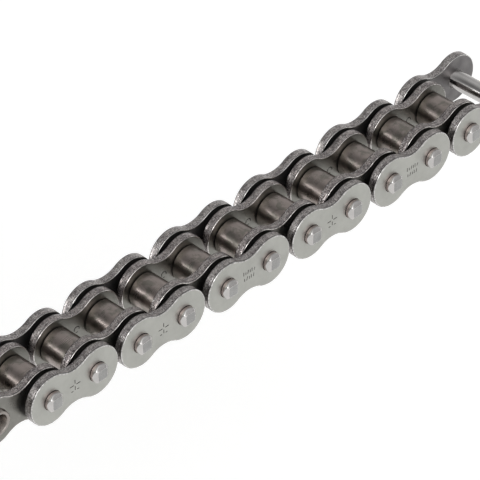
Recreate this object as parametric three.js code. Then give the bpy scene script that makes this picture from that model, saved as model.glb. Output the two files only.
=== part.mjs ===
// Riveted roller chain, twelve-pitch section, 5/8 in pitch by 3/8 in between the inner plates.
// Units are millimetres, +Z up. The chain runs along X, every pin lies along Y, and the plates
// stand on edge. The origin is under the middle of the section, at the height of the lowest
// plate edge, so the section stands on z = 0.
//
// Order along the chain, from -X to +X:
//   station 0 .. 12 are the pin centres, one pitch apart.
//   inner link i joins stations 2i-2 and 2i-1: two plates pressed on two bushes, a roller on each.
//   outer link i joins stations 2i-1 and 2i:   two plates pressed on two pins.
// The section starts with a bare inner link end and finishes with a bare outer link end, so
// sections follow one another.

import * as THREE from 'three';
import { mergeVertices } from 'three/addons/utils/BufferGeometryUtils.js';

// ---- driving dimensions -------------------------------------------------------------------
const PITCH = 15.875;            // pin centre to pin centre, 5/8 in
const LINKS = 6;                 // inner links, and as many outer links
const INNER_WIDTH = 9.53;        // clear width between the inner plates, 3/8 in
const PLATE_T = 2.5;             // thickness of every plate
const PLATE_GAP = 1.4;           // between an inner plate and the outer plate beside it
const PLATE_R = 7.45;            // round end of a plate, about its pin centre
const OUTER_WAIST = 5.30;        // half height of an outer plate at its middle
const INNER_WAIST = 5.15;        // half height of an inner plate at its middle
const ROLLER_D = 10.16;          // roller outside diameter
const ROLLER_BORE = 7.90;        // running fit on the bush
const ROLLER_SIDE_PLAY = 0.20;   // at each end, to the inner plates
const BUSH_D = 7.60;             // bush outside diameter
const BUSH_BORE = 5.60;          // running fit on the pin
const BUSH_STANDS = 1.20;        // bush end beyond the inner plate's outer face
const PIN_D = 5.40;              // pin shank
const HEAD_D = 5.60;             // spread end of the pin, outside the outer plate
const HEAD_FACE_D = 3.40;        // flat top of the spread end
const HEAD_RIM = 1.05;           // straight side of the spread end, under its slope
const HEAD_H = 2.00;             // pin end beyond the outer plate's face
const PRESS_GAP = 0.03;          // drawn between two pressed surfaces

// facets round a full circle
const N_PLATE_HOLE = 16;
const N_TURNED = 16;
const N_ROLLER = 20;
const N_END = 4;                 // along a quarter of a round plate end
const N_WAIST = 3;               // along half a waist curve
const FLAT_ANGLE = (9 * Math.PI) / 180;

// ---- places that follow from them ---------------------------------------------------------
const INNER_IN = INNER_WIDTH / 2;
const INNER_OUT = INNER_IN + PLATE_T;
const OUTER_IN = INNER_OUT + PLATE_GAP;
const OUTER_OUT = OUTER_IN + PLATE_T;
const Z_PIN = PLATE_R;
const station = (k) => (k - LINKS) * PITCH;

// A polygon drawn with its corners on a circle is thinner than the circle in the middle of each
// side. A hole that has to clear a round is drawn with its sides, not its corners, outside it.
const cornerRadius = (flatRadius, n) => flatRadius / Math.cos(Math.PI / n);

// ---- materials ----------------------------------------------------------------------------
const steel = (name, color, roughness) =>
  Object.assign(new THREE.MeshStandardMaterial({ color, roughness, metalness: 0.9 }), { name });
const FINISH = {
  outer_plate: () => steel('outer_plate', 0xacada6, 0.38),
  inner_plate: () => steel('inner_plate', 0x8f9088, 0.42),
  roller: () => steel('roller', 0x857c78, 0.28),
  bush: () => steel('bush', 0x7d7874, 0.35),
  pin: () => steel('pin', 0xa4a49e, 0.34),
};

// ---- shapes -------------------------------------------------------------------------------
function closedGeometry(geometry) {
  const g = geometry.index ? geometry.toNonIndexed() : geometry;
  g.deleteAttribute('normal');
  g.deleteAttribute('uv');
  const merged = mergeVertices(g, 1e-4);
  merged.computeVertexNormals();
  return merged;
}

// Outline of a plate in its own plane: two round ends about the pin centres, drawn in to a
// waist above and below by arcs that meet the ends smoothly. Each round end has a short flat
// at its lowest and highest place, FLAT_ANGLE either side of it, which the chain stands on.
function plateOutline(radius, waist) {
  const h = PITCH / 2;
  const r = (h * h + waist * waist - radius * radius) / (2 * (radius - waist));
  const top = waist + r;                          // height of the waist arc's centre
  const lean = Math.atan2(top, h);                // from an end's centre towards it
  const side = h + radius * Math.tan(FLAT_ANGLE);
  const quarter = [];                             // right end, from its tip to the upper waist
  for (let i = 0; i < N_END; i++) {
    const a = ((Math.PI / 2 - FLAT_ANGLE) * i) / N_END;
    quarter.push([h + radius * Math.cos(a), radius * Math.sin(a)]);
  }
  quarter.push([side, radius], [2 * h - side, radius]);
  quarter.push([h - radius * Math.cos(lean), radius * Math.sin(lean)]);
  const from = Math.atan2(-top, h);               // on the waist arc, where it meets that end
  const sweep = -Math.PI / 2 - from;              // to the middle of the plate
  for (let i = 1; i < N_WAIST; i++) {
    const a = from + (sweep * i) / (N_WAIST - 0.5);
    quarter.push([r * Math.cos(a), top + r * Math.sin(a)]);
  }
  const upper = [...quarter, ...quarter.map(([x, z]) => [-x, z]).reverse()];
  const lower = upper.slice(1, -1).map(([x, z]) => [x, -z]).reverse();
  return [...upper, ...lower];
}

// A plate lies in the X-Z plane, centred between its two holes, and is PLATE_T thick along Y
// from y = -PLATE_T / 2.
function plateGeometry(radius, waist, holeRadius) {
  const shape = new THREE.Shape(plateOutline(radius, waist).map(([x, z]) => new THREE.Vector2(x, z)));
  const corner = cornerRadius(holeRadius, N_PLATE_HOLE);
  for (const side of [-1, 1]) {
    const hole = [];
    for (let i = 0; i < N_PLATE_HOLE; i++) {
      const a = (2 * Math.PI * i) / N_PLATE_HOLE;
      hole.push(new THREE.Vector2(side * PITCH / 2 + corner * Math.cos(a), corner * Math.sin(a)));
    }
    shape.holes.push(new THREE.Path(hole));
  }
  const g = new THREE.ExtrudeGeometry(shape, { depth: PLATE_T, bevelEnabled: false, steps: 1 });
  g.translate(0, 0, -PLATE_T / 2);
  g.rotateX(Math.PI / 2);                          // sketch Y becomes Z, thickness lies along Y
  return closedGeometry(g);
}

// Lathe work is turned about Y, which is the way the pins lie.
const turned = (profile, n) =>
  closedGeometry(new THREE.LatheGeometry(profile.map(([r, y]) => new THREE.Vector2(r, y)), n));

function bushGeometry() {
  const y = INNER_OUT + BUSH_STANDS;
  const bore = cornerRadius(BUSH_BORE / 2, N_TURNED);
  const r = BUSH_D / 2;
  return turned([[bore, -y], [r, -y], [r, y], [bore, y], [bore, -y]], N_TURNED);
}

function rollerGeometry() {
  const y = INNER_IN - ROLLER_SIDE_PLAY;
  const bore = cornerRadius(ROLLER_BORE / 2, N_ROLLER);
  const r = ROLLER_D / 2;
  return turned([[bore, -y], [r, -y], [r, y], [bore, y], [bore, -y]], N_ROLLER);
}

function pinGeometry() {
  const face = OUTER_OUT + PRESS_GAP;
  const end = OUTER_OUT + HEAD_H;
  const r = PIN_D / 2;
  const head = HEAD_D / 2;
  return turned([
    [0, -end], [HEAD_FACE_D / 2, -end], [head, -face - HEAD_RIM], [head, -face], [r, -face],
    [r, face], [head, face], [head, face + HEAD_RIM], [HEAD_FACE_D / 2, end], [0, end],
  ], N_TURNED);
}

// ---- the chain ----------------------------------------------------------------------------
const chain = new THREE.Group();
chain.name = 'roller_chain';

function place(parent, name, geometry, material, x, y) {
  const mesh = new THREE.Mesh(geometry, material);
  mesh.name = name;
  mesh.position.set(x, y, 0);
  parent.add(mesh);
}

const line = new THREE.Group();                    // everything sits on the pin centre line
line.position.z = Z_PIN;
chain.add(line);

const innerY = (INNER_IN + INNER_OUT) / 2;
const outerY = (OUTER_IN + OUTER_OUT) / 2;

for (let i = 1; i <= LINKS; i++) {
  const a = station(2 * i - 2);
  const b = station(2 * i - 1);
  const c = station(2 * i);

  const inner = new THREE.Group();
  line.add(inner);
  place(inner, `inner_plate_near_${i}`, plateGeometry(PLATE_R, INNER_WAIST, BUSH_D / 2 + PRESS_GAP), FINISH.inner_plate(), (a + b) / 2, -innerY);
  place(inner, `inner_plate_far_${i}`, plateGeometry(PLATE_R, INNER_WAIST, BUSH_D / 2 + PRESS_GAP), FINISH.inner_plate(), (a + b) / 2, innerY);
  place(inner, `bush_${2 * i - 1}`, bushGeometry(), FINISH.bush(), a, 0);
  place(inner, `bush_${2 * i}`, bushGeometry(), FINISH.bush(), b, 0);
  place(inner, `roller_${2 * i - 1}`, rollerGeometry(), FINISH.roller(), a, 0);
  place(inner, `roller_${2 * i}`, rollerGeometry(), FINISH.roller(), b, 0);

  const outer = new THREE.Group();
  line.add(outer);
  place(outer, `outer_plate_near_${i}`, plateGeometry(PLATE_R, OUTER_WAIST, PIN_D / 2 + PRESS_GAP), FINISH.outer_plate(), (b + c) / 2, -outerY);
  place(outer, `outer_plate_far_${i}`, plateGeometry(PLATE_R, OUTER_WAIST, PIN_D / 2 + PRESS_GAP), FINISH.outer_plate(), (b + c) / 2, outerY);
  place(outer, `pin_${2 * i - 1}`, pinGeometry(), FINISH.pin(), b, 0);
  place(outer, `pin_${2 * i}`, pinGeometry(), FINISH.pin(), c, 0);
}

export default chain;
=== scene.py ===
import math
import random

import bpy
import bmesh
from mathutils import Matrix, Vector
from mathutils.geometry import tessellate_polygon


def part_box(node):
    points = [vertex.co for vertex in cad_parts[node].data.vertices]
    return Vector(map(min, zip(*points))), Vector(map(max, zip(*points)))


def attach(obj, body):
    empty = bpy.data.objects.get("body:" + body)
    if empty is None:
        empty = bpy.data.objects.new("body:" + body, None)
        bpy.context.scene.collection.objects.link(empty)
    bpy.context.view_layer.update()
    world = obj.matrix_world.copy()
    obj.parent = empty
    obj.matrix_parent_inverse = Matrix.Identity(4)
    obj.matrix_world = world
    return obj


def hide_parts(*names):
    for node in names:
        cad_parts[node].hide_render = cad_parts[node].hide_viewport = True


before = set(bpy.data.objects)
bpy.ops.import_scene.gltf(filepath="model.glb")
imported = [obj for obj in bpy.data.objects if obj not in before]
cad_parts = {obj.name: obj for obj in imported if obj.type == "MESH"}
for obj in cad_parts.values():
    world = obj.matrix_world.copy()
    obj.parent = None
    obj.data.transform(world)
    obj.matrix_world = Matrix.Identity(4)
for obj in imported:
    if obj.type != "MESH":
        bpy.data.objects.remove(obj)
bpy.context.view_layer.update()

MM = 0.001
rng = random.Random(7)
scene = bpy.context.scene

# ------------------------------------------------------------------ sizes read from the frame
lo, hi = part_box("outer_plate_near_1")
PLATE_R = (hi.z - lo.z) / 2
PLATE_T = hi.y - lo.y
PITCH = (hi.x - lo.x) - 2 * PLATE_R
Z_PIN = (hi.z + lo.z) / 2
OUTER_OUT = -lo.y                      # outer face of the outer plates
OUTER_IN = -hi.y
lo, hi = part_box("inner_plate_near_1")
INNER_OUT, INNER_IN = -lo.y, -hi.y
OUTER_WAIST, INNER_WAIST = 5.30 * MM, 5.15 * MM
LINKS = 6


def station(k):
    return (k - LINKS) * PITCH


# ------------------------------------------------------------------ camera
def make_camera():
    az, el, roll = math.radians(-45.499), math.radians(37.785), math.radians(-0.376)
    distance, lens = 68.6954 * PITCH, 308.57
    target = Vector((-0.0014 * PITCH, 0.0, Z_PIN + 0.0581 * PITCH))
    back = Vector((math.sin(az) * math.cos(el), -math.cos(az) * math.cos(el), math.sin(el)))
    right = Vector((math.cos(az), math.sin(az), 0.0))
    up = back.cross(right)
    r = math.cos(roll) * right + math.sin(roll) * up
    u = -math.sin(roll) * right + math.cos(roll) * up
    data = bpy.data.cameras.new("camera")
    data.lens, data.sensor_width = lens, 36.0
    data.clip_start, data.clip_end = 0.05, 20.0
    cam = bpy.data.objects.new("camera", data)
    scene.collection.objects.link(cam)
    m = Matrix((r, u, back)).transposed().to_4x4()
    m.translation = target + back * distance
    cam.matrix_world = m
    scene.camera = cam


make_camera()


# ------------------------------------------------------------------ node helpers
def new_material(name):
    m = bpy.data.materials.new(name)
    m.use_nodes = True
    t = m.node_tree
    return m, t, t.nodes["Principled BSDF"]


def node(t, kind, **values):
    n = t.nodes.new(kind)
    for k, v in values.items():
        if k.startswith("in_"):
            n.inputs[k[3:].replace("_", " ")].default_value = v
        else:
            setattr(n, k, v)
    return n


def coords(t, scale, kind="Object", uv=None):
    """Coordinates in millimetres, stretched by scale."""
    if uv:
        src = node(t, "ShaderNodeUVMap", uv_map=uv).outputs["UV"]
    else:
        src = t.nodes.new("ShaderNodeTexCoord").outputs[kind]
    m = t.nodes.new("ShaderNodeMapping")
    m.inputs["Scale"].default_value = scale
    t.links.new(src, m.inputs["Vector"])
    return m.outputs["Vector"]


def noise(t, vector, scale, detail=4.0, rough=0.55, distortion=0.0):
    n = t.nodes.new("ShaderNodeTexNoise")
    n.inputs["Scale"].default_value = scale
    n.inputs["Detail"].default_value = detail
    n.inputs["Roughness"].default_value = rough
    n.inputs["Distortion"].default_value = distortion
    t.links.new(vector, n.inputs["Vector"])
    return n.outputs["Fac"]


def remap(t, value, a, b, c, d, smooth=False):
    n = t.nodes.new("ShaderNodeMapRange")
    if smooth:
        n.interpolation_type = "SMOOTHSTEP"
    n.inputs["From Min"].default_value = a
    n.inputs["From Max"].default_value = b
    n.inputs["To Min"].default_value = c
    n.inputs["To Max"].default_value = d
    t.links.new(value, n.inputs["Value"])
    return n.outputs["Result"]


def mix_color(t, fac, a, b):
    n = t.nodes.new("ShaderNodeMix")
    n.data_type = "RGBA"
    if isinstance(fac, (int, float)):
        n.inputs["Factor"].default_value = fac
    else:
        t.links.new(fac, n.inputs["Factor"])
    sockets = [s for s in n.inputs if s.type == "RGBA"]
    for socket, v in zip(sockets, (a, b)):
        if isinstance(v, (tuple, list)):
            socket.default_value = (*v, 1.0)
        else:
            t.links.new(v, socket)
    return [s for s in n.outputs if s.type == "RGBA"][0]


def math_node(t, op, a, b=None):
    n = t.nodes.new("ShaderNodeMath")
    n.operation = op
    for i, v in enumerate((a, b)):
        if v is None:
            continue
        if isinstance(v, (int, float)):
            n.inputs[i].default_value = v
        else:
            t.links.new(v, n.inputs[i])
    return n.outputs[0]


def bump(t, height, distance, strength=1.0, normal=None):
    n = t.nodes.new("ShaderNodeBump")
    n.inputs["Strength"].default_value = strength
    n.inputs["Distance"].default_value = distance
    t.links.new(height, n.inputs["Height"])
    if normal is not None:
        t.links.new(normal, n.inputs["Normal"])
    return n.outputs["Normal"]


# ------------------------------------------------------------------ materials
def face_steel(name, light, dark, rough=(0.34, 0.46), grain=0.5):
    """Satin plate face: fine tumbled grain, soft cloudy tone, a few small scuffs."""
    m, t, b = new_material(name)
    b.inputs["Metallic"].default_value = 1.0
    v = coords(t, (1000, 1000, 1000))
    cloud = noise(t, v, 0.22, 3.0, 0.5)
    fine = noise(t, v, 9.0, 3.0, 0.6)
    speck = noise(t, v, 3.2, 5.0, 0.7)
    tone = remap(t, cloud, 0.3, 0.7, 0.0, 1.0)
    colour = mix_color(t, tone, dark, light)
    spots = remap(t, speck, 0.66, 0.78, 0.0, 0.35)
    colour = mix_color(t, spots, colour, tuple(c * 0.6 for c in dark))
    t.links.new(colour, b.inputs["Base Color"])
    r = remap(t, noise(t, v, 1.3, 4.0, 0.6), 0.3, 0.7, rough[0], rough[1])
    t.links.new(r, b.inputs["Roughness"])
    n = bump(t, fine, 0.004 * MM, grain)
    n = bump(t, speck, 0.012 * MM, grain, n)
    t.links.new(n, b.inputs["Normal"])
    return m


def edge_steel(name, light, dark, rough=(0.24, 0.42)):
    """Blanked edge: striations across the thickness, a smoother sheared band by the outer face
    and a rougher broken band behind it, small torn spots painted bright as glints (painted highlight), and painted
    shade next to both face corners."""
    m, t, b = new_material(name)
    b.inputs["Metallic"].default_value = 1.0
    uv = coords(t, (1, 1, 1), uv="plate_uv")            # millimetres along, thickness share across
    sep = t.nodes.new("ShaderNodeSeparateXYZ")
    t.links.new(uv, sep.inputs[0])
    lines = noise(t, coords(t, (2.3, 0.8, 1), uv="plate_uv"), 1.5, 5.0, 0.72)
    broken = noise(t, coords(t, (1.5, 4.2, 1), uv="plate_uv"), 1.5, 5.0, 0.74)
    pits = noise(t, coords(t, (1000, 1000, 1000)), 2.3, 4.0, 0.7)
    drift = noise(t, coords(t, (0.35, 0.2, 1), uv="plate_uv"), 1.0, 3.0, 0.55)
    wander = noise(t, coords(t, (0.9, 0.0, 1), uv="plate_uv"), 1.0, 3.0, 0.6)
    across = math_node(t, "ADD", sep.outputs[1], remap(t, wander, 0.2, 0.8, -0.12, 0.12))
    zone = remap(t, across, 0.36, 0.46, 0.0, 1.0, smooth=True)
    tone = remap(t, lines, 0.43, 0.58, 0.0, 1.0)
    sheared = mix_color(t, tone, dark, light)
    grain = remap(t, broken, 0.44, 0.58, 0.0, 1.0)
    torn = mix_color(t, grain, tuple(c * 0.7 for c in dark), tuple(c * 1.12 for c in light))
    body = mix_color(t, zone, sheared, torn)
    body = mix_color(t, remap(t, drift, 0.42, 0.62, 0.0, 0.45, smooth=True), body, tuple((a + b) / 2 for a, b in zip(light, dark)))
    blotch = noise(t, coords(t, (620, 620, 620)), 1.0, 4.0, 0.62)
    body = mix_color(t, remap(t, blotch, 0.45, 0.60, 0.0, 0.62, smooth=True), body, (0.118, 0.100, 0.106))
    # painted shade: the edge darkened in the bands next to the outer-face corner and the inner-face corner
    rim_side_painted_shade = remap(t, sep.outputs[1], 0.13, 0.20, 0.55, 0.0, smooth=True)
    body = mix_color(t, rim_side_painted_shade, body, tuple(c * 0.45 for c in dark))
    back_side_painted_shade = remap(t, sep.outputs[1], 0.84, 0.90, 0.0, 0.35, smooth=True)
    body = mix_color(t, back_side_painted_shade, body, tuple(c * 0.45 for c in dark))
    dirt = remap(t, pits, 0.60, 0.70, 0.0, 0.7)
    body = mix_color(t, dirt, body, tuple(c * 0.35 for c in dark))
    # painted highlight: small spots of the edge colour painted bright as glints, and made a little smoother
    painted_glint = remap(t, noise(t, coords(t, (900, 900, 900)), 3.3, 3.0, 0.62), 0.54, 0.62, 0.0, 1.0, smooth=True)
    t.links.new(mix_color(t, math_node(t, "MULTIPLY", painted_glint, 0.5), body, tuple(min(0.92, c * 1.8) for c in light)), b.inputs["Base Color"])
    r = math_node(t, "ADD", remap(t, lines, 0.3, 0.7, rough[0], rough[0] + 0.1),
                  math_node(t, "MULTIPLY", zone, rough[1] - rough[0]))
    r = math_node(t, "SUBTRACT", r, math_node(t, "MULTIPLY", painted_glint, 0.05))
    t.links.new(r, b.inputs["Roughness"])
    n = bump(t, lines, 0.09 * MM, 0.9)
    n = bump(t, math_node(t, "MULTIPLY", broken, zone), 0.13 * MM, 0.9, n)
    n = bump(t, pits, 0.06 * MM, 0.8, n)
    t.links.new(n, b.inputs["Normal"])
    return m


def rim_steel(name, light, dark, plate=True):
    """The tumbled corner between a plate's face and its edge: burnished, and painted brighter than the face
    as a highlight line on the face side, with painted shade, near black, on the edge side."""
    m, t, b = new_material(name)
    b.inputs["Metallic"].default_value = 1.0
    v = coords(t, (1000, 1000, 1000))
    nicks = noise(t, v, 1.6, 5.0, 0.65)
    colour = mix_color(t, remap(t, nicks, 0.42, 0.62, 0.0, 1.0), light, dark)
    if plate:
        sep = t.nodes.new("ShaderNodeSeparateXYZ")
        t.links.new(coords(t, (1, 1, 1), uv="plate_uv"), sep.inputs[0])
        off_middle = math_node(t, "ABSOLUTE", math_node(t, "SUBTRACT", sep.outputs[1], 0.5))
        # painted shade: the edge side of the rounded corner darkened nearly to black, leaving a thin bright line on the
        # face side
        colour = mix_color(t, remap(t, off_middle, 0.425, 0.465, 0.88, 0.0, smooth=True), colour, (0.06, 0.055, 0.055))
    t.links.new(colour, b.inputs["Base Color"])
    t.links.new(remap(t, nicks, 0.3, 0.7, 0.07, 0.17), b.inputs["Roughness"])
    t.links.new(bump(t, nicks, 0.03 * MM, 0.8), b.inputs["Normal"])
    return m


def turned_steel(name, light, dark, rough=(0.2, 0.32), lines=1.0, stain=None):
    """Ground or turned steel: fine lines round the axis, which lies along Y, and faint rub marks."""
    m, t, b = new_material(name)
    b.inputs["Metallic"].default_value = 1.0
    ring = noise(t, coords(t, (30, 1000, 30)), 7.0, 4.0, 0.6)
    v = coords(t, (1000, 1000, 1000))
    cloud = noise(t, v, 0.30, 3.0, 0.5)
    fine = noise(t, v, 5.0, 4.0, 0.6)
    tone = math_node(t, "ADD", remap(t, cloud, 0.3, 0.7, 0.0, 0.7), remap(t, ring, 0.3, 0.7, 0.0, 0.3))
    colour = mix_color(t, tone, dark, light)
    if stain:                                            # uneven oil film and tempering colour
        patch = noise(t, coords(t, (380, 300, 380)), 1.0, 5.0, 0.68, 0.4)
        colour = mix_color(t, remap(t, patch, 0.46, 0.60, 0.0, 0.75, smooth=True), colour, stain)
    t.links.new(colour, b.inputs["Base Color"])
    r = math_node(t, "ADD", remap(t, cloud, 0.3, 0.7, rough[0], rough[1]), remap(t, ring, 0.3, 0.7, -0.03, 0.03))
    t.links.new(r, b.inputs["Roughness"])
    n = bump(t, ring, 0.003 * MM, lines)
    n = bump(t, fine, 0.0015 * MM, 0.4, n)
    t.links.new(n, b.inputs["Normal"])
    return m


def rubber(name):
    m, t, b = new_material(name)
    v = coords(t, (1000, 1000, 1000))
    cloud = noise(t, v, 1.2, 4.0, 0.6)
    t.links.new(mix_color(t, cloud, (0.012, 0.012, 0.014), (0.03, 0.029, 0.03)), b.inputs["Base Color"])
    t.links.new(remap(t, cloud, 0.3, 0.7, 0.32, 0.5), b.inputs["Roughness"])
    t.links.new(bump(t, noise(t, v, 6.0, 3.0, 0.6), 0.006 * MM, 0.8), b.inputs["Normal"])
    return m


OUTER_FACE = face_steel("outer_plate_face", (0.415, 0.415, 0.387), (0.37, 0.37, 0.345))
# inner faces of the outer plates: the face steel painted darker, painted shade for the side that faces the inner plates
OUTER_BACK_PAINTED_SHADE = face_steel("outer_plate_back_painted_shade", (0.20, 0.19, 0.19), (0.13, 0.125, 0.125))
OUTER_EDGE = edge_steel("outer_plate_edge", (0.59, 0.55, 0.53), (0.16, 0.147, 0.142))
# rim colours, here and for the inner plates, are brighter than the face colours: partly burnished corners, partly a
# painted highlight
OUTER_RIM = rim_steel("outer_plate_rim", (0.62, 0.61, 0.595), (0.30, 0.292, 0.282))
INNER_FACE = face_steel("inner_plate_face", (0.25, 0.247, 0.226), (0.19, 0.185, 0.17), rough=(0.26, 0.38))
INNER_EDGE = edge_steel("inner_plate_edge", (0.58, 0.518, 0.50), (0.11, 0.099, 0.096))
INNER_RIM = rim_steel("inner_plate_rim", (0.68, 0.65, 0.63), (0.28, 0.262, 0.252))
ROLLER = turned_steel("roller_steel", (0.36, 0.307, 0.285), (0.26, 0.226, 0.21), rough=(0.26, 0.35), lines=0.5,
                      stain=(0.175, 0.168, 0.145))
BUSH = turned_steel("bush_steel", (0.33, 0.30, 0.28), (0.25, 0.23, 0.21))
PIN = turned_steel("pin_steel", (0.55, 0.53, 0.52), (0.44, 0.43, 0.42), rough=(0.13, 0.20))
PIN_SIDE = turned_steel("pin_side_steel", (0.62, 0.525, 0.51), (0.32, 0.27, 0.262), rough=(0.18, 0.28))
PIN_END = face_steel("pin_end_steel", (0.345, 0.343, 0.337), (0.26, 0.258, 0.253), rough=(0.22, 0.34), grain=1.0)
SEAL = rubber("seal_rubber")
MARK = rim_steel("stamped_mark", (0.11, 0.108, 0.102), (0.035, 0.033, 0.031), plate=False)


# ------------------------------------------------------------------ plates
def outline(pitch, radius, waist, inset, n_end, n_waist):
    """Outline of a plate in its own plane, taken in by inset, as (x, z, distance along)."""
    h = pitch / 2
    r = (h * h + waist * waist - radius * radius) / (2 * (radius - waist))
    top = waist + r
    lean = math.atan2(top, h)
    rad, arc = radius - inset, r + inset
    pts = []
    for i in range(n_end + 1):
        a = (math.pi - lean) * i / n_end
        pts.append((h + rad * math.cos(a), rad * math.sin(a), radius * a))
    s0 = radius * (math.pi - lean)
    start = math.atan2(-top, h)
    sweep = -math.pi / 2 - start
    for i in range(1, n_waist + 1):
        a = start + sweep * i / n_waist
        pts.append((arc * math.cos(a), top + arc * math.sin(a), s0 + r * abs(sweep) * i / n_waist))
    total = pts[-1][2]
    quarter = pts
    upper = quarter + [(-x, z, 2 * total - s) for x, z, s in reversed(quarter[:-1])]
    lower = [(x, -z, 4 * total - s) for x, z, s in reversed(upper[1:-1])]
    return upper + lower, 4 * total


def ring_points(cx, cz, r, n, phase=0.0):
    return [(cx + r * math.cos(2 * math.pi * i / n + phase), cz + r * math.sin(2 * math.pi * i / n + phase)) for i in range(n)]


N_END, N_WAIST, N_HOLE = 30, 12, 48


def groove(x0, z0, x1, z1, half):
    """Outline of a straight groove with round ends."""
    a = math.atan2(z1 - z0, x1 - x0)
    pts = []
    for (cx, cz), start in (((x1, z1), a - math.pi / 2), ((x0, z0), a + math.pi / 2)):
        for i in range(7):
            t = start + math.pi * i / 6
            pts.append((cx + half * math.cos(t), cz + half * math.sin(t)))
    return pts


def sink(shape, d):
    """The outline taken in by about d towards its own middle line."""
    n = len(shape)
    out = []
    for i, (x, z) in enumerate(shape):
        xa, za = shape[i - 1]
        xb, zb = shape[(i + 1) % n]
        tx, tz = xb - xa, zb - za
        k = math.hypot(tx, tz) or 1
        out.append((x - tz / k * d, z + tx / k * d))
    return out


def plate_mesh(name, radius, waist, hole_r, marks_front, marks_back, mats):
    """A plate about the origin: y = -t/2 is its outer face, +t/2 its inner face.
    mats: outer face, edge, rim, punched marks, inner face."""
    t = PLATE_T
    me = bpy.data.meshes.new(name)
    for m in mats:
        me.materials.append(m)
    bm = bmesh.new()
    uv = bm.loops.layers.uv.new("plate_uv")
    # (inset, y, material of the band that ends here)
    fr, fd = 0.36 * MM, 0.30 * MM              # drawn-in corner at the outer face
    br, bd = 0.24 * MM, 0.22 * MM              # tumbled corner at the inner face
    prof = []
    k = 6
    for i in range(k + 1):
        a = math.pi / 2 * i / k
        prof.append((fr * (1 - math.sin(a)), -t / 2 + fd * (1 - math.cos(a)), 2))
    prof.append((-0.000 * MM, -t / 2 + 0.40 * t, 1))
    prof.append((0.035 * MM, -t / 2 + 0.50 * t, 1))
    prof.append((0.045 * MM, t / 2 - bd, 1))
    for i in range(1, k + 1):
        a = math.pi / 2 * i / k
        prof.append((0.045 * MM + br * (1 - math.cos(a)), t / 2 - bd + bd * math.sin(a), 2))
    rings, along = [], None
    for inset, y, _ in prof:
        pts, total = outline(PITCH, radius, waist, inset, N_END, N_WAIST)
        rings.append([bm.verts.new((x, y, z)) for x, z, _ in pts])
        along = [s for _, _, s in pts]
    n = len(along)
    for j in range(1, len(prof)):
        mat = prof[j][2]
        for i in range(n):
            i2 = (i + 1) % n
            f = bm.faces.new((rings[j - 1][i], rings[j - 1][i2], rings[j][i2], rings[j][i]))
            f.material_index, f.smooth = mat, True
            s = (along[i], along[i + 1] if i + 1 < n else total)
            v = ((prof[j - 1][1] + t / 2) / t, (prof[j][1] + t / 2) / t)
            for loop, (a, b) in zip(f.loops, ((s[0], v[0]), (s[1], v[0]), (s[1], v[1]), (s[0], v[1]))):
                loop[uv].uv = (a / MM, b)
    # holes, with a small broken edge at each face
    c = 0.16 * MM
    hole_loops = {-1: [], 1: []}
    for side in (-1, 1):
        cx = side * PITCH / 2
        hp = [(hole_r + c, -t / 2), (hole_r, -t / 2 + c), (hole_r, t / 2 - c), (hole_r + c, t / 2)]
        hr = [[bm.verts.new((x, y, z)) for x, z in ring_points(cx, 0, r, N_HOLE)] for r, y in hp]
        for j in range(1, 4):
            for i in range(N_HOLE):
                i2 = (i + 1) % N_HOLE
                f = bm.faces.new((hr[j - 1][i2], hr[j - 1][i], hr[j][i], hr[j][i2]))
                f.material_index, f.smooth = 2 if j != 2 else 1, True
                for loop in f.loops:
                    loop[uv].uv = (loop.vert.co.x / MM, (loop.vert.co.y + t / 2) / t)
        hole_loops[-1].append(hr[0])
        hole_loops[1].append(hr[-1])
    # faces, with small round punch marks sunk in them
    for which, ring, marks in ((-1, rings[0], marks_front), (1, rings[-1], marks_back)):
        y = which * t / 2
        loops = [ring] + hole_loops[which]
        for shape in marks:
            rims = [[bm.verts.new((x, y, z)) for x, z in shape]]
            cx, cz = sum(x for x, _ in shape) / len(shape), sum(z for _, z in shape) / len(shape)
            inner = sink(shape, 0.05 * MM)
            rims.append([bm.verts.new((x, y - which * 0.10 * MM, z)) for x, z in inner])
            count = len(shape)
            for i in range(count):
                i2 = (i + 1) % count
                f = bm.faces.new((rims[0][i], rims[0][i2], rims[1][i2], rims[1][i]))
                f.material_index, f.smooth = 3, False
            f = bm.faces.new(rims[1])
            f.material_index, f.smooth = 3, False
            loops.append(rims[0])
        flat = [v for l in loops for v in l]
        tris = tessellate_polygon([[Vector((v.co.x, v.co.z, 0)) for v in l] for l in loops])
        for tri in tris:
            vs = [flat[i] for i in tri]
            nrm = (vs[1].co - vs[0].co).cross(vs[2].co - vs[0].co)
            if nrm.y * which < 0:
                vs.reverse()
            try:
                f = bm.faces.new(vs)
            except ValueError:
                continue
            f.material_index, f.smooth = (0 if which < 0 else 4), False
            for loop in f.loops:
                loop[uv].uv = (loop.vert.co.x / MM, loop.vert.co.z / MM)
    bmesh.ops.recalc_face_normals(bm, faces=bm.faces)
    bm.to_mesh(me)
    bm.free()
    return me


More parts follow.
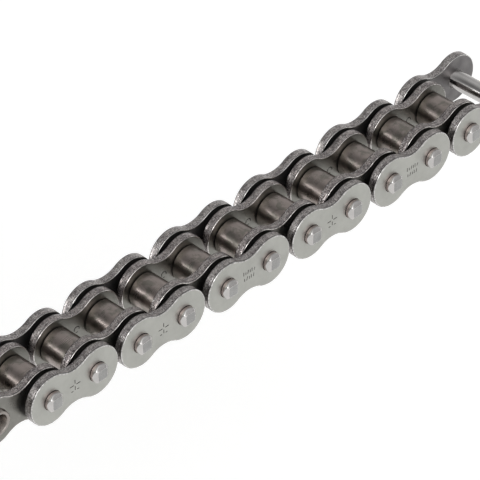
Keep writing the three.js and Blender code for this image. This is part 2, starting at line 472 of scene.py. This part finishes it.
def lathe_mesh(name, profile, n, mats, closed=True, shaper=None):
    """Turned about Y. profile: (radius, y, material index of the band that ends here)."""
    me = bpy.data.meshes.new(name)
    for m in mats:
        me.materials.append(m)
    bm = bmesh.new()
    rings = []
    for j, (r, y, _) in enumerate(profile):
        if r == 0:
            rings.append([bm.verts.new((0, y, 0))])
            continue
        ring = []
        for i in range(n):
            a = 2 * math.pi * i / n
            rr = shaper(j, a, r) if shaper else r
            ring.append(bm.verts.new((rr * math.cos(a), y, rr * math.sin(a))))
        rings.append(ring)
    pairs = list(zip(range(len(rings) - 1), range(1, len(rings))))
    if closed:
        pairs.append((len(rings) - 1, 0))
    for a, b in pairs:
        ra, rb = rings[a], rings[b]
        for i in range(n):
            i2 = (i + 1) % n
            if len(ra) == 1 and len(rb) == 1:
                continue
            if len(ra) == 1:
                vs = (ra[0], rb[i2], rb[i])
            elif len(rb) == 1:
                vs = (ra[i], ra[i2], rb[0])
            else:
                vs = (ra[i], ra[i2], rb[i2], rb[i])
            f = bm.faces.new(vs)
            f.material_index, f.smooth = profile[b][2], True
    bmesh.ops.recalc_face_normals(bm, faces=bm.faces)
    bm.to_mesh(me)
    bm.free()
    return me


def add_piece(name, me, at, body, replaces, spin=0.0, flip=False):
    me = me.copy()
    me.name = name
    m = Matrix.Translation(at)
    if flip:
        m = m @ Matrix.Rotation(math.pi, 4, "Z")
    if spin:
        m = m @ Matrix.Rotation(spin, 4, "Y")
    me.transform(m)
    me.update()
    o = bpy.data.objects.new(name, me)
    scene.collection.objects.link(o)
    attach(o, body)
    if replaces:
        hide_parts(replaces)
    return o


# ------------------------------------------------------------------ the meshes
PIN_R = 2.70 * MM
BUSH_R, BUSH_BORE = 3.80 * MM, 2.84 * MM
ROLLER_R, ROLLER_BORE = 5.08 * MM, 3.96 * MM

def strokes(rows, half=0.115):
    return [groove(a * MM, b * MM, c * MM, d * MM, half * MM) for a, b, c, d in rows]


crosshair = strokes([(-1.75, 0.30, -0.55, 0.30), (0.55, 0.30, 1.75, 0.30), (0, 0.80, 0, 1.85), (0, -0.25, 0, -1.30),
                     (-1.25, -1.45, -0.75, -1.45), (0.75, -1.45, 1.25, -1.45)], 0.12)
dashes = strokes([(x, z, x + w, z + h) for z, row in (
    (0.55, ((-2.1, 0.0, 1.0), (-1.3, 0.0, 0.7), (-0.6, 0.25, 1.0), (0.3, 0.0, 0.8), (1.0, 0.0, 1.0), (1.8, 0.25, 0.7))),
    (-1.45, ((-1.8, 0.0, 0.8), (-1.0, 0.3, 1.0), (0.0, 0.0, 0.7), (0.7, 0.0, 1.0), (1.5, 0.2, 0.9))))
    for x, w, h in row], 0.12)
half_ring = [(1.05 * MM * math.cos(math.radians(a)), 1.05 * MM * math.sin(math.radians(a)) + 0.2 * MM) for a in range(-20, 201, 20)]
half_ring += [(0.70 * MM * math.cos(math.radians(a)), 0.70 * MM * math.sin(math.radians(a)) + 0.2 * MM) for a in range(200, -21, -20)]
notch = [half_ring] + strokes([(-0.25, -0.75, 0.25, -0.75)], 0.13)
OUTER = (OUTER_FACE, OUTER_EDGE, OUTER_RIM, MARK, OUTER_BACK_PAINTED_SHADE)
INNER = (INNER_FACE, INNER_EDGE, INNER_RIM, MARK, INNER_FACE)
outer_plate_a = plate_mesh("outer_plate_a", PLATE_R, OUTER_WAIST, 2.74 * MM, crosshair, [], OUTER)
outer_plate_b = plate_mesh("outer_plate_b", PLATE_R, OUTER_WAIST, 2.74 * MM, dashes, [], OUTER)
inner_plate = plate_mesh("inner_plate", PLATE_R, INNER_WAIST, 3.84 * MM, [], notch, INNER)


def roller_profile():
    y = INNER_IN - 0.20 * MM
    c, b = 0.30 * MM, 0.18 * MM
    pts = []
    for i in range(5):                                   # -y outer corner
        a = math.pi / 2 * i / 4
        pts.append((ROLLER_R - c + c * math.sin(a), -y + c * (1 - math.cos(a)), 0))
    for i in range(5):
        a = math.pi / 2 * i / 4
        pts.append((ROLLER_R - c + c * math.cos(a), y - c + c * math.sin(a), 0))
    pts += [(ROLLER_BORE + b, y, 0), (ROLLER_BORE, y - b, 0), (ROLLER_BORE, -y + b, 0), (ROLLER_BORE + b, -y, 0)]
    return pts


def bush_profile():
    y = INNER_OUT + 1.20 * MM
    c = 0.16 * MM
    return [(BUSH_R - c, -y, 0), (BUSH_R, -y + c, 0), (BUSH_R, y - c, 0), (BUSH_R - c, y, 0),
            (BUSH_BORE + c, y, 0), (BUSH_BORE, y - c, 0), (BUSH_BORE, -y + c, 0), (BUSH_BORE + c, -y, 0)]


def pin_parts():
    """A pin with both ends staked: a round collar standing on the plate, four slopes pressed into
    it, and a flat square end with rounded corners."""
    face, end = OUTER_OUT, OUTER_OUT + 1.98 * MM
    collar, flat = 2.78 * MM, 1.72 * MM
    shoulder, top = 1.06 * MM, 1.90 * MM
    rows = [(collar - 0.04 * MM, face + 0.02 * MM, None), (collar, face + 0.07 * MM, None), (collar, face + 0.45 * MM, None),
            (collar, face + 0.90 * MM, None)]
    n = 18
    slope = (collar - flat) / (top - shoulder)
    for i in range(n + 1):
        y = shoulder - 0.12 * MM + (top - shoulder + 0.12 * MM) * i / n
        rows.append((collar, face + y, flat + (top - y) * slope))
    rows.append((collar, face + 1.945 * MM, flat - 0.05 * MM))
    rows.append((collar, face + 1.97 * MM, flat - 0.10 * MM))
    rows.append((collar, end, flat - 0.16 * MM))
    rows.append((collar, end, flat * 0.5))

    def radius(a, r, half):
        if half is None:
            return r
        c, s = abs(math.cos(a)), abs(math.sin(a))
        p = 7.0
        square = half / (c ** p + s ** p) ** (1 / p)
        q = 24.0                                   # round over where a slope meets the collar
        return (square ** -q + r ** -q) ** (-1 / q)

    profile, halves = [(0.0, -end, 2)], [None]
    for r, y, half in reversed(rows):
        profile.append((r, -y, 2 if y >= end else 1 if half is None and y - face < 0.85 * MM else 0))
        halves.append(half)
    for y in (-face + 0.02 * MM, face - 0.02 * MM):
        profile.append((PIN_R, y, 0))
        halves.append(None)
    for r, y, half in rows:
        profile.append((r, y, 2 if y >= end and half < flat * 0.6 else 1 if half is None else 0))
        halves.append(half)
    profile.append((0.0, end, 2))
    halves.append(None)
    return profile, lambda j, a, r: radius(a, r, halves[j])


roller = lathe_mesh("roller", roller_profile(), 96, (ROLLER,))
bush = lathe_mesh("bush", bush_profile(), 64, (BUSH,))
pin_profile, pin_shaper = pin_parts()
pin = lathe_mesh("pin", pin_profile, 96, (PIN, PIN_SIDE, PIN_END), closed=False, shaper=pin_shaper)


def seal_profile():
    """Ring seal of rounded section, squeezed between two plates round the bush end."""
    y0, y1 = INNER_OUT + 0.03 * MM, OUTER_IN - 0.03 * MM
    mid, half = (y0 + y1) / 2, (y1 - y0) / 2
    inner_r, outer_r = BUSH_R + 0.10 * MM, 5.55 * MM
    rc, rh = (inner_r + outer_r) / 2, (outer_r - inner_r) / 2
    pts = []
    n = 24
    for i in range(n):
        a = 2 * math.pi * i / n
        c, s = math.cos(a), math.sin(a)
        p = 3.0
        k = 1 / (abs(c) ** p + abs(s) ** p) ** (1 / p)
        pts.append((rc + rh * c * k, mid + half * s * k, 0))
    return pts


seal = lathe_mesh("seal", seal_profile(), 64, (SEAL,))

# ------------------------------------------------------------------ the chain
inner_y = (INNER_IN + INNER_OUT) / 2
outer_y = (OUTER_IN + OUTER_OUT) / 2
for i in range(1, LINKS + 1):
    a, b, c = station(2 * i - 2), station(2 * i - 1), station(2 * i)
    ib, ob = f"inner_link_{i}", f"outer_link_{i}"
    outer_plate = outer_plate_b if i in (3, 5) else outer_plate_a
    add_piece(f"inner_plate_near_{i}_fine", inner_plate, ((a + b) / 2, -inner_y, Z_PIN), ib, f"inner_plate_near_{i}")
    add_piece(f"inner_plate_far_{i}_fine", inner_plate, ((a + b) / 2, inner_y, Z_PIN), ib, f"inner_plate_far_{i}", flip=True)
    add_piece(f"outer_plate_near_{i}_fine", outer_plate, ((b + c) / 2, -outer_y, Z_PIN), ob, f"outer_plate_near_{i}")
    add_piece(f"outer_plate_far_{i}_fine", outer_plate, ((b + c) / 2, outer_y, Z_PIN), ob, f"outer_plate_far_{i}", flip=True)
    for k, x in ((2 * i - 1, a), (2 * i, b)):
        add_piece(f"bush_{k}_fine", bush, (x, 0, Z_PIN), ib, f"bush_{k}", spin=rng.uniform(0, 6.28))
        add_piece(f"roller_{k}_fine", roller, (x, 0, Z_PIN), f"roller_{k}", f"roller_{k}", spin=rng.uniform(0, 6.28))
    for k, x in ((2 * i - 1, b), (2 * i, c)):
        add_piece(f"pin_{k}_fine", pin, (x, 0, Z_PIN), ob, f"pin_{k}", spin=math.radians(rng.uniform(-4, 4)))
for k in range(1, 2 * LINKS):
    body = f"inner_link_{(k + 2) // 2}" if k % 2 == 0 else f"inner_link_{(k + 1) // 2}"
    add_piece(f"seal_near_{k}", seal, (station(k), 0, Z_PIN), body, None, flip=True)
    add_piece(f"seal_far_{k}", seal, (station(k), 0, Z_PIN), body, None)

# ------------------------------------------------------------------ floor and light
def make_floor():
    m, t, b = new_material("floor_white")
    v = coords(t, (1, 1, 1))
    t.links.new(mix_color(t, noise(t, v, 3.0, 3.0, 0.5), (0.90, 0.90, 0.895), (0.92, 0.92, 0.915)), b.inputs["Base Color"])
    b.inputs["Roughness"].default_value = 0.9
    b.inputs["Specular IOR Level"].default_value = 0.1
    b.inputs["Emission Color"].default_value = (1, 1, 1, 1)
    b.inputs["Emission Strength"].default_value = 0.26
    me = bpy.data.meshes.new("floor")
    s, z = 12.0, -0.12
    me.from_pydata([(-s, -s, z), (s, -s, z), (s, s, z), (-s, s, z)], [], [(0, 1, 2, 3)])
    me.materials.append(m)
    o = bpy.data.objects.new("floor", me)
    scene.collection.objects.link(o)


SOFT_BOXES = (   # azimuth (0 is the near side, -Y), elevation, sharpness, strength
    (0, 62, 8, 0.70), (144, 62, 8, 0.52), (288, 62, 8, 0.12),
    (9, 36, 9, 0.62), (153, 36, 9, 0.19), (189, 36, 9, 0.15), (333, 36, 9, 1.40),
    (63, 12, 10, 0.70), (99, 12, 10, 0.96), (135, 12, 10, 0.29),
    (243, 12, 10, 0.62), (279, 12, 10, 0.47), (351, 12, 10, 0.43),
    (250, 24, 70, 0.5), (225, 8, 70, 3.0), (245, 6, 70, 4.6),
    (330, 42, 70, 0.93), (315, 55, 70, 0.39), (318, 31, 160, 5.0), (342, 14, 80, 6.0), (232, 16, 120, 7.0),
)


def make_world():
    """A dark studio with soft boxes, each a smooth spot in its own direction."""
    w = bpy.data.worlds.new("studio")
    scene.world = w
    w.use_nodes = True
    t = w.node_tree
    bg = t.nodes["Background"]
    where = t.nodes.new("ShaderNodeTexCoord").outputs["Generated"]
    total = None
    for az, el, k, strength in SOFT_BOXES:
        az, el = math.radians(az), math.radians(el)
        dot = t.nodes.new("ShaderNodeVectorMath")
        dot.operation = "DOT_PRODUCT"
        t.links.new(where, dot.inputs[0])
        dot.inputs[1].default_value = (math.sin(az) * math.cos(el), -math.cos(az) * math.cos(el), math.sin(el))
        fall = t.nodes.new("ShaderNodeMath")
        fall.operation = "MULTIPLY_ADD"
        t.links.new(dot.outputs["Value"], fall.inputs[0])
        fall.inputs[1].default_value, fall.inputs[2].default_value = k, math.log(strength) - k
        spot = math_node(t, "EXPONENT", fall.outputs[0])
        total = spot if total is None else math_node(t, "ADD", total, spot)
    t.links.new(total, bg.inputs["Color"])
    bg.inputs["Strength"].default_value = 1.0


make_floor()
make_world()

scene.view_settings.view_transform = "Standard"
scene.view_settings.look = "None"
scene.view_settings.exposure = 0.0
scene.view_settings.gamma = 1.0
